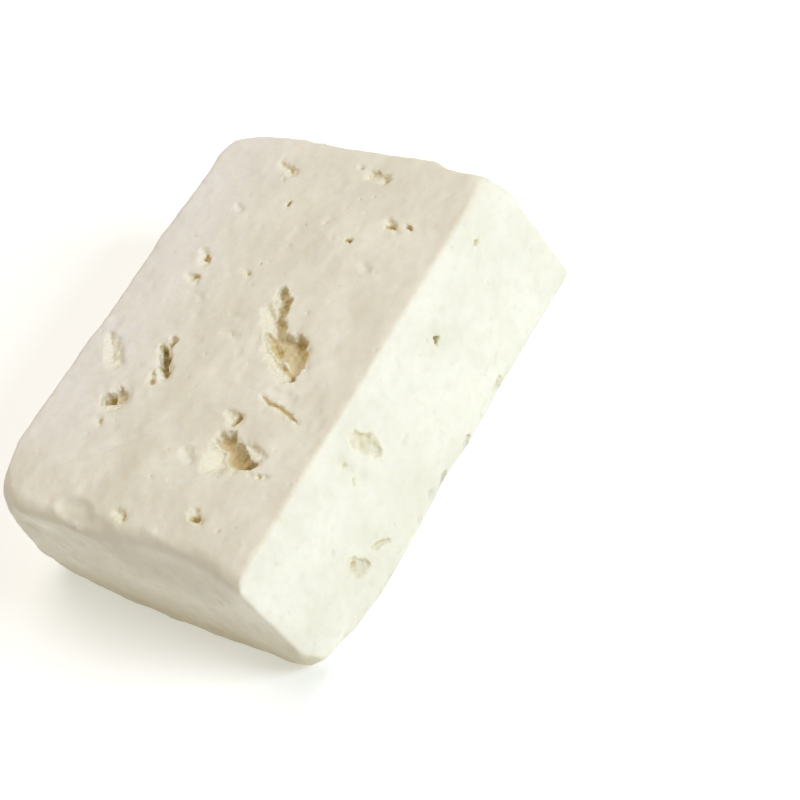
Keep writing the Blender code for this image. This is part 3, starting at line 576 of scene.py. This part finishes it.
def scattered_rows(rng, face):
    """A pocket somewhere on the face, and smaller ones that break out of its side."""
    span_u = (LENGTH if face in ("back", "base") else WIDTH) / 2 - SCATTER_MARGIN
    across = rng.uniform(-span_u, span_u) / MM
    if face == "base":
        span_v = WIDTH / 2 - SCATTER_MARGIN
        up = rng.uniform(-span_v, span_v) / MM
    else:
        up = rng.uniform(SCATTER_MARGIN, HEIGHT - SCATTER_MARGIN) / MM
    length = SMALL_OPENING + (LARGE_OPENING - SMALL_OPENING) * rng.random() ** 2
    turn = rng.uniform(0, 180)
    yield face, across, up, length, length * SCATTER_BREADTH, length * SCATTER_DEPTH, turn
    for _ in range(SATELLITES):
        angle = rng.uniform(0, 2 * math.pi)
        reach = length * rng.uniform(*SATELLITE_PLACE)
        size = length * rng.uniform(*SATELLITE_SIZE)
        breadth = size * rng.uniform(*SATELLITE_BREADTH)
        depth = size * rng.uniform(*SATELLITE_DEPTH)
        place_u, place_v = across + reach * math.cos(angle), up + reach * math.sin(angle)
        yield face, place_u, place_v, size, breadth, depth, rng.uniform(0, 180)


def scattered_crack(rng, face):
    """A short wandering crack somewhere on the face."""
    span = (LENGTH if face == "back" else WIDTH) / 2 - SCATTER_MARGIN * 2
    across, up = rng.uniform(-span, span) / MM, rng.uniform(*CRACK_HEIGHT)
    heading = rng.uniform(0, 2 * math.pi)
    line = [(across, up)]
    for _ in range(rng.randint(*CRACK_STEPS)):
        heading += rng.uniform(-CRACK_BEND, CRACK_BEND)
        across += CRACK_STEP * math.cos(heading)
        up += CRACK_STEP * math.sin(heading)
        line.append((across, up))
    return face, rng.uniform(*CRACK_HALF_WIDTH), rng.uniform(*CRACK_DEPTH), tuple(line)


def chip_rows(rng):
    """Small pockets along the front's lower edge, one in each even stretch of it."""
    for index in range(CHIP_COUNT):
        share = (index + rng.uniform(*CHIP_STRAY)) / CHIP_COUNT
        across = (share - 0.5) * LENGTH / MM
        length = CHIP_SMALL + (CHIP_LARGE - CHIP_SMALL) * rng.random() ** 2
        breadth = length * rng.uniform(*CHIP_BREADTH)
        up = rng.uniform(*CHIP_HEIGHT)
        turn = rng.uniform(-CHIP_TURN, CHIP_TURN)
        yield "front", across, up, length, breadth, breadth / 2, turn


def all_rows():
    """Every pocket and every crack: the known ones and the scattered ones."""
    pockets = list(POCKETS.values())
    cracks = list(CRACKS.values())
    rng = random.Random(SEED)
    for face, count in SCATTER_COUNT.items():
        for _ in range(count):
            pockets.extend(scattered_rows(rng, face))
    for face, count in SCATTER_CRACKS.items():
        for _ in range(count):
            cracks.append(scattered_crack(rng, face))
    pockets.extend(chip_rows(random.Random(SEED + CHIP_SEED)))
    return pockets, cracks


def hollow_depth(gap, hollow):
    """A torn hollow's depth by the distance to its rim: steep walls and an even floor."""
    _, depth, wall, _ = hollow
    share = np.clip(gap / wall, 0.0, 1.0)
    return depth * np.sqrt(1.0 - (1.0 - share) ** 2)


def pocket_depth(points, pocket):
    """A pocket's depth at each point: half an egg, deepest in the middle."""
    _, across, up, length, breadth, depth, turn = pocket
    angle = math.radians(turn)
    offset = points - (across, up)
    along = offset @ (math.cos(angle), math.sin(angle)) / (length / 2)
    beside = offset @ (-math.sin(angle), math.cos(angle)) / (breadth / 2)
    return depth * np.sqrt(np.clip(1.0 - along**2 - beside**2, 0, 1))


def crack_depth(points, crack):
    """A crack's depth at each point: a sharp groove that runs out at its ends."""
    _, half_width, depth, line = crack
    gap, along = distance_to_line(points, line)
    fade = np.clip(np.sin(math.pi * along), 0, 1) ** CRACK_END
    return depth * fade * np.clip(1.0 - gap / half_width, 0, 1)


def sunk_depth(face, points, seed):
    """How far the openings sink a face at each of its points, all in mm."""
    moved = torn(points, seed)
    eased = points + (moved - points) * DISH_TEAR
    depths = [np.zeros(len(points))]
    lip = np.zeros(len(points))
    for hollow in HOLLOWS.values():
        if hollow[0] == face:
            gap = distance_inside(moved, hollow[3])
            depths.append(hollow_depth(gap, hollow))
            lip = np.maximum(lip, np.exp(-(((gap + LIP_GAP) / LIP_WIDTH) ** 2)))
    for row_face, depth, wall, spine in DISHES.values():
        if row_face == face:
            depths.append(depth * smooth_step(distance_inside(eased, spine) / wall))
    pockets, cracks = all_rows()
    depths += [pocket_depth(moved, pocket) for pocket in pockets if pocket[0] == face]
    depths += [crack_depth(eased, crack) for crack in cracks if crack[0] == face]
    blended = sum(depth**BLEND for depth in depths) ** (1 / BLEND)
    patches = np.clip(plane_waves(points, LIP_PATCH, seed + LIP_SEED), 0, 1)
    return blended - LIP_HEIGHT * lip * patches


def face_points(places, face):
    axis_u, axis_v, _ = FACE_AXES[face]
    return np.stack([places @ axis_u, places @ axis_v], axis=1) / MM


def bulge_faces(mesh):
    """Swell or hollow whole faces, fading out inside the block."""
    places = vertex_array(mesh).astype(np.float64)
    for face, across, up, half_across, half_up, height in BULGES.values():
        outward = np.array(FACE_AXES[face][2])
        offset = (face_points(places, face) - (across, up)) / (half_across, half_up)
        towards = places @ outward
        nearness = smooth_step(1.0 - (towards.max() - towards) / BULGE_REACH)
        swell = smooth_step(1.0 - (offset**2).sum(axis=1))
        places += outward * (height * MM * nearness * swell)[:, None]
    move_vertices(mesh, places)


def sink_openings(mesh):
    """Press every face's openings into the mesh, straight in from that face."""
    places = vertex_array(mesh).astype(np.float64)
    normals = normal_array(mesh)
    moved = places.copy()
    for index, (face, (_, _, outward)) in enumerate(FACE_AXES.items()):
        facing = normals @ np.array(outward)
        chosen = facing > FACING_LOW
        depth = sunk_depth(face, face_points(places[chosen], face), SEED + FACE_SEEDS * index)
        fade = smooth_step((facing[chosen] - FACING_LOW) / (FACING_HIGH - FACING_LOW))
        moved[chosen] -= np.array(outward) * (depth * fade * MM)[:, None]
    move_vertices(mesh, moved)


def make_worn_corners(collection):
    """Flat cuts round each worn corner, each touching the ball that rounds it."""
    for side, radius_mm in WORN_CORNERS.items():
        radius = radius_mm * MM
        ball = corner_place(side) - Vector(side) * radius
        for lean in WEAR_LEANS:
            outward = (Vector(side) * Vector(lean)).normalized()
            bm = bmesh.new()
            bmesh.ops.create_cube(bm, size=HEIGHT)
            turn = outward.to_track_quat("Z", "Y").to_matrix().to_4x4()
            turn.translation = ball + outward * (HEIGHT / 2 + radius)
            bmesh.ops.transform(bm, matrix=turn, verts=bm.verts)
            slab = object_from("worn_corner", bm)
            bpy.context.scene.collection.objects.unlink(slab)
            collection.objects.link(slab)


def add_cut(target, collection):
    cut = target.modifiers.new("cut", "BOOLEAN")
    cut.operation = "DIFFERENCE"
    cut.solver = "EXACT"
    cut.operand_type = "COLLECTION"
    cut.collection = collection


def add_skin(target, voxel):
    skin = target.modifiers.new("skin", "REMESH")
    skin.mode = "VOXEL"
    skin.voxel_size = voxel
    soften = target.modifiers.new("soften", "SMOOTH")
    soften.factor = SOFTEN_SHARE
    soften.iterations = SOFTEN_STEPS


def add_unevenness(target, name, wavelength, height, octaves):
    clouds = bpy.data.textures.new(name, "CLOUDS")
    clouds.noise_scale = wavelength * MM
    clouds.noise_depth = octaves
    push = target.modifiers.new(name, "DISPLACE")
    push.texture = clouds
    push.texture_coords = "LOCAL"
    push.mid_level = 0.5
    push.strength = height * MM


def make_surfaces():
    """The block with its openings as a dense mesh, and the block whole as a search tree."""
    corners = bpy.data.collections.new("worn_corners")
    bpy.context.scene.collection.children.link(corners)
    make_worn_corners(corners)
    block = make_block("cheese_curd")
    whole = make_block("whole")
    for target, voxel in ((block, FIRST_VOXEL), (whole, WHOLE_VOXEL)):
        add_cut(target, corners)
        add_skin(target, voxel)
        for name, (wavelength, height, octaves) in UNEVENNESS.items():
            add_unevenness(target, name, wavelength, height, octaves)
        apply_modifiers(target)
        bulge_faces(target.data)
    whole_tree = BVHTree.FromObject(whole, bpy.context.evaluated_depsgraph_get())
    remove(whole, *corners.objects)
    bpy.data.collections.remove(corners)

    sink_openings(block.data)
    add_skin(block, VOXEL)
    for name, (wavelength, height, octaves) in FINE_UNEVENNESS.items():
        add_unevenness(block, name, wavelength, height, octaves)
    apply_modifiers(block)
    return block, whole_tree


# ---------------------------------------------------------------- fine relief
def push_along_normals(mesh, amount):
    """Move each vertex along its normal by its own amount."""
    move_vertices(mesh, vertex_array(mesh) + normal_array(mesh) * amount[:, None])


def search_tree(places):
    tree = kdtree.KDTree(len(places))
    for index, place in enumerate(places):
        tree.insert(place, index)
    tree.balance()
    return tree


def depth_below(mesh, whole_tree):
    """How far each vertex lies below the whole block's skin, in mm."""
    return np.array([whole_tree.find_nearest(v.co)[3] for v in mesh.vertices]) / MM


def nearness_to_openings(places, depth):
    """1 in an opening, falling to 0 a few millimetres away from its rim."""
    inside = np.flatnonzero(depth > OPEN_DEPTH)
    tree = search_tree(places[inside])
    gap = np.array([tree.find(place)[2] for place in places]) / MM
    return np.exp(-((gap / CRUMBLE_SPREAD) ** 2))


def add_spots(amount, places, tree, rng, choices, count, radii, depth_share):
    """Round dips of random size round random vertices, deepest in the middle."""
    for _ in range(count):
        centre = places[choices[rng.randrange(len(choices))]]
        radius = (radii[0] + (radii[1] - radii[0]) * rng.random() ** 2) * MM
        stretch = Vector((rng.uniform(*SPOT_STRETCH), rng.uniform(*SPOT_STRETCH), 1.0))
        for place, index, _ in tree.find_range(centre, radius):
            offset = place - Vector(centre)
            share = Vector(a / b for a, b in zip(offset, stretch)).length / radius
            if share < 1.0:
                amount[index] -= depth_share * radius * (1.0 - share * share)


def add_ridges(amount, places):
    """Lines raised or sunk on the top face, fading out at their ends."""
    top = places[:, 2] > HEIGHT - RIDGE_REACH
    points = places[top][:, :2] / MM
    for line, half_width, height in RIDGES.values():
        gap, along = distance_to_line(points, line)
        profile = np.exp(-((gap / half_width) ** 2)) * np.sin(np.pi * along) ** RIDGE_END
        amount[top] += profile * height * MM


def roughen(mesh, whole_tree):
    """Crumble the openings and their surroundings, and pit the rest lightly."""
    places = vertex_array(mesh)
    near = nearness_to_openings(places, depth_below(mesh, whole_tree))
    amount = np.zeros(len(places))
    points = places.astype(np.float64) / MM
    for index, (wavelength, height) in enumerate(CRUMBLE):
        waves = plane_waves(points, wavelength, SEED + CRUMBLE_SEED + index)
        amount += height * MM * near * waves
    tree = search_tree(places)
    rng = random.Random(SEED + SPOT_SEED)
    everywhere = range(len(places))
    crumbled = np.flatnonzero(near > CRUMBLED_FROM)
    for count, radii, depth_share, in_zone in SPOTS.values():
        choices = crumbled if in_zone else everywhere
        add_spots(amount, places, tree, rng, choices, count, radii, depth_share)
    add_ridges(amount, places)
    push_along_normals(mesh, amount)


def trim_base(mesh):
    """Cut the block flat at the surface it rests on and close the cut."""
    bm = bmesh.new()
    bm.from_mesh(mesh)
    cut = bmesh.ops.bisect_plane(
        bm, geom=bm.verts[:] + bm.edges[:] + bm.faces[:],
        plane_co=(0, 0, 0), plane_no=(0, 0, 1), clear_inner=True,
    )
    edges = [part for part in cut["geom_cut"] if isinstance(part, bmesh.types.BMEdge)]
    bmesh.ops.triangle_fill(bm, edges=edges, use_beauty=True, normal=(0, 0, -1))
    bm.to_mesh(mesh)
    bm.free()


def thin_out(target, most, weights):
    """Bring the mesh under a number of triangles, taking least where the weight is low."""
    group = target.vertex_groups.new(name="thin")
    for value in np.unique(weights):
        chosen = np.flatnonzero(weights == value).tolist()
        group.add(chosen, float(value), "REPLACE")
    target.data.calc_loop_triangles()
    thin = target.modifiers.new("thin_out", "DECIMATE")
    thin.ratio = min(1.0, most / len(target.data.loop_triangles))
    thin.use_collapse_triangulate = True
    thin.vertex_group = group.name
    apply_modifiers(target)
    target.vertex_groups.clear()


def store_values(mesh, name, values):
    layer = mesh.attributes.new(name, "FLOAT", "POINT")
    layer.data.foreach_set("value", values.astype(np.float32))


def opening_shades(places):
    """At each vertex, how deep a hollow or pocket is there, and how narrow for its depth.

    The first is in mm. The second is the depth as a share of the opening's breadth.
    Shallow dishes have neither, as they keep the colour of the skin. The first drives tan as
    stain and painted shade, the second painted shade alone.
    """
    tan, dark = np.zeros(len(places)), np.zeros(len(places))
    pockets, cracks = all_rows()
    for index, (face, (_, _, outward)) in enumerate(FACE_AXES.items()):
        towards = places @ np.array(outward)
        close = np.flatnonzero(towards > towards.max() - OPENING_REACH)
        points = face_points(places[close], face)
        moved = torn(points, SEED + FACE_SEEDS * index)
        for hollow in HOLLOWS.values():
            if hollow[0] == face:
                depth = hollow_depth(distance_inside(moved, hollow[3]), hollow)
                tan[close] = np.maximum(tan[close], depth)
        for pocket in pockets:
            if pocket[0] == face:
                depth = pocket_depth(moved, pocket)
                tan[close] = np.maximum(tan[close], depth)
                dark[close] = np.maximum(dark[close], depth / pocket[4])
        for crack in cracks:
            if crack[0] == face:
                share = CRACK_SHADE * crack_depth(points, crack) / (2 * crack[1])
                dark[close] = np.maximum(dark[close], share)
    return tan, dark


def foot_shade(mesh, places):
    """Painted shade: 1 at the foot of the near end, falling to 0 higher up and on the other
    faces.
    """
    low, high = FOOT_FACING
    facing = smooth_step((-normal_array(mesh)[:, 0] - low) / (high - low))
    return facing * smooth_step(1.0 - places[:, 2] / FOOT_HEIGHT)


def finish_mesh(target, whole_tree):
    roughen(target.data, whole_tree)
    trim_base(target.data)
    mesh = target.data
    places = vertex_array(mesh)
    near = nearness_to_openings(places, depth_below(mesh, whole_tree))
    weights = np.where(near > WHOLE_FROM, THIN_OPEN, THIN_SHOWN)
    weights[places[:, 2] < TRIM] = THIN_BASE
    thin_out(target, MOST_TRIANGLES, weights)
    mesh = target.data
    places = vertex_array(mesh)
    depth = depth_below(mesh, whole_tree)
    store_values(mesh, "opening_near", nearness_to_openings(places, depth))
    # Depth and narrowness of the openings, for their tan and their painted shade
    tan, dark = opening_shades(places.astype(np.float64))
    store_values(mesh, "opening_depth", tan)
    store_values(mesh, "opening_dark", dark)
    store_values(mesh, "end_foot", foot_shade(mesh, places))
    middle = (places.min(0) + places.max(0)) / 2
    target_middle = (cad_low + cad_high) / 2
    shift = Vector((target_middle.x - middle[0], target_middle.y - middle[1], 0.0))
    places = np.clip(places + np.array(shift), np.array(cad_low), np.array(cad_high))
    mesh.polygons.foreach_set("use_smooth", [True] * len(mesh.polygons))
    move_vertices(mesh, places)
    return shift


# ---------------------------------------------------------------- material
def node(tree, kind, **inputs):
    made = tree.nodes.new(kind)
    for name, value in inputs.items():
        made.inputs[name.replace("_", " ")].default_value = value
    return made


def noise_node(tree, place, scale, detail=2.0, roughness=0.5):
    made = node(tree, "ShaderNodeTexNoise", Scale=scale, Detail=detail, Roughness=roughness)
    tree.links.new(place, made.inputs["Vector"])
    return made.outputs["Fac"]


def map_range(tree, value, low, high, to_low=0.0, to_high=1.0):
    made = tree.nodes.new("ShaderNodeMapRange")
    made.interpolation_type = "SMOOTHSTEP"
    for slot_name, number in zip(
        ("From Min", "From Max", "To Min", "To Max"), (low, high, to_low, to_high)
    ):
        made.inputs[slot_name].default_value = number
    tree.links.new(value, made.inputs["Value"])
    return made.outputs["Result"]


def attribute_node(tree, name):
    made = tree.nodes.new("ShaderNodeAttribute")
    made.attribute_name = name
    return made.outputs["Fac"]


def mix_colour(tree, factor, first, second):
    made = tree.nodes.new("ShaderNodeMix")
    made.data_type = "RGBA"
    tree.links.new(factor, made.inputs["Factor"])
    for slot_name, value in (("A", first), ("B", second)):
        slot = next(s for s in made.inputs if s.name == slot_name and s.type == "RGBA")
        if isinstance(value, bpy.types.NodeSocket):
            tree.links.new(value, slot)
        else:
            slot.default_value = value
    return next(s for s in made.outputs if s.type == "RGBA")


def curd_material():
    """Ivory curd: cloudy creams, tan in the openings as stain and painted shade, painted shade in
    narrow pockets, cracks and the near end's foot, painted cool light towards the back, a moist
    skin and a fine grain.
    """
    material = bpy.data.materials.new("curd")
    material.use_nodes = True
    tree = material.node_tree
    shader = tree.nodes["Principled BSDF"]
    place = tree.nodes.new("ShaderNodeTexCoord").outputs["Object"]

    clouds = noise_node(tree, place, *CLOUD_NOISE)
    flecks = noise_node(tree, place, *FLECK_NOISE)
    depth, near = (attribute_node(tree, name) for name in ("opening_depth", "opening_near"))

    cloudy = mix_colour(tree, map_range(tree, clouds, *CLOUD_RANGE), CURD_DARK, CURD_LIGHT)
    # Painted cool light: the curd turns whiter towards the back, but not at the near end
    parts = tree.nodes.new("ShaderNodeSeparateXYZ")
    tree.links.new(place, parts.inputs["Vector"])
    cool = tree.nodes.new("ShaderNodeMath")
    cool.operation = "MULTIPLY"
    across = map_range(tree, parts.outputs["Y"], *COOL_ACROSS, 0.0, COOL_TINT)
    tree.links.new(across, cool.inputs[0])
    tree.links.new(map_range(tree, parts.outputs["X"], *COOL_ALONG), cool.inputs[1])
    body = mix_colour(tree, cool.outputs["Value"], cloudy, PAINTED_COOL_LIGHT)
    fleck_share = map_range(tree, flecks, *FLECK_RANGE, 0.0, FLECK_TINT)
    flecked = mix_colour(tree, fleck_share, body, CURD_FLECK)
    rim = mix_colour(tree, map_range(tree, near, *RIM_RANGE, 0.0, RIM_TINT), flecked, CURD_RIM)
    # Tan by depth in the openings: brine stain and painted cavity shade
    hollow = mix_colour(tree, map_range(tree, depth, TAN_FROM, TAN_TO), rim, HOLLOW_STAIN_AND_SHADE)
    # Painted shade in narrow pockets and cracks, by depth against breadth
    dark = map_range(tree, attribute_node(tree, "opening_dark"), DARK_FROM, DARK_TO)
    deep = mix_colour(tree, dark, hollow, POCKET_PAINTED_SHADE)
    # Painted shade at the near end's foot
    footed = mix_colour(tree, attribute_node(tree, "end_foot"), deep, FOOT_PAINTED_SHADE)
    tree.links.new(footed, shader.inputs["Base Color"])

    gloss = map_range(tree, flecks, *ROUGH_RANGE, ROUGH_LOW, ROUGH_HIGH)
    tree.links.new(gloss, shader.inputs["Roughness"])
    shader.inputs["Subsurface Weight"].default_value = INNER_LIGHT
    shader.inputs["Subsurface Radius"].default_value = INNER_REACH
    shader.inputs["Subsurface Scale"].default_value = INNER_SCALE
    shader.inputs["Specular IOR Level"].default_value = GLOSS

    grain = noise_node(tree, place, *GRAIN_NOISE)
    lumps = noise_node(tree, place, *LUMP_NOISE)
    fine = node(tree, "ShaderNodeBump", Strength=GRAIN_STRENGTH, Distance=GRAIN_DEPTH)
    tree.links.new(grain, fine.inputs["Height"])
    coarse = node(tree, "ShaderNodeBump", Strength=LUMP_STRENGTH, Distance=LUMP_DEPTH)
    tree.links.new(lumps, coarse.inputs["Height"])
    tree.links.new(fine.outputs["Normal"], coarse.inputs["Normal"])
    tree.links.new(coarse.outputs["Normal"], shader.inputs["Normal"])
    return material


# ---------------------------------------------------------------- floor, light, camera
def make_floor():
    bm = bmesh.new()
    bmesh.ops.create_grid(bm, x_segments=1, y_segments=1, size=FLOOR_SIZE / 2)
    floor = object_from("floor", bm)
    material = bpy.data.materials.new("pale_floor")
    material.use_nodes = True
    tree = material.node_tree
    shader = tree.nodes["Principled BSDF"]
    place = tree.nodes.new("ShaderNodeTexCoord").outputs["Object"]
    paper = map_range(tree, noise_node(tree, place, FLOOR_CLOUDS), *FLOOR_RANGE)
    tree.links.new(mix_colour(tree, paper, FLOOR_LIGHT, FLOOR_DARK), shader.inputs["Base Color"])
    shader.inputs["Roughness"].default_value = FLOOR_ROUGH
    shader.inputs["Specular IOR Level"].default_value = FLOOR_GLOSS
    shader.inputs["Emission Color"].default_value = FLOOR_GLOW_COLOUR
    shader.inputs["Emission Strength"].default_value = FLOOR_GLOW
    floor.data.materials.append(material)


def make_lamp(name, azimuth, elevation, distance, size, power, colour):
    """A square soft light aimed at the block: azimuth from -Y towards +X, in degrees."""
    lamp = bpy.data.lights.new(name, "AREA")
    lamp.shape = "SQUARE"
    lamp.size = size
    lamp.energy = power
    lamp.color = colour
    made = bpy.data.objects.new(name, lamp)
    bpy.context.scene.collection.objects.link(made)
    a, e = math.radians(azimuth), math.radians(elevation)
    towards = Vector((math.sin(a) * math.cos(e), -math.cos(a) * math.cos(e), math.sin(e)))
    middle = Vector((0.0, 0.0, HEIGHT / 2))
    made.location = middle + towards * distance
    made.rotation_mode = "QUATERNION"
    made.rotation_quaternion = towards.to_track_quat("Z", "Y")


def make_world():
    world = bpy.data.worlds.new("studio")
    world.use_nodes = True
    background = world.node_tree.nodes["Background"]
    background.inputs["Color"].default_value = WORLD_COLOUR
    background.inputs["Strength"].default_value = WORLD_STRENGTH
    bpy.context.scene.world = world


def make_camera(shift):
    """The view from above the block's near front corner, rolled as the block leans."""
    lens = bpy.data.cameras.new("camera")
    lens.lens = CAMERA_LENS
    lens.sensor_width = CAMERA_SENSOR
    camera = bpy.data.objects.new("camera", lens)
    bpy.context.scene.collection.objects.link(camera)
    forward = Vector(CAMERA_FORWARD).normalized()
    right = forward.cross(Vector(CAMERA_UP)).normalized()
    up = right.cross(forward)
    turn = Matrix((right, up, -forward)).transposed()
    camera.matrix_world = Matrix.Translation(Vector(CAMERA_PLACE) * MM + shift) @ turn.to_4x4()
    lens.clip_start = CAMERA_NEAREST
    lens.clip_end = CAMERA_FARTHEST
    bpy.context.scene.camera = camera


# ---------------------------------------------------------------- run
def main():
    block, whole_tree = make_surfaces()
    shift = finish_mesh(block, whole_tree)
    block.data.materials.append(curd_material())
    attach(block, "root")
    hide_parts("cheese")
    make_floor()
    for lamp in LAMPS:
        make_lamp(*lamp)
    make_world()
    make_camera(shift)
    bpy.context.scene.view_settings.view_transform = "Standard"


main()
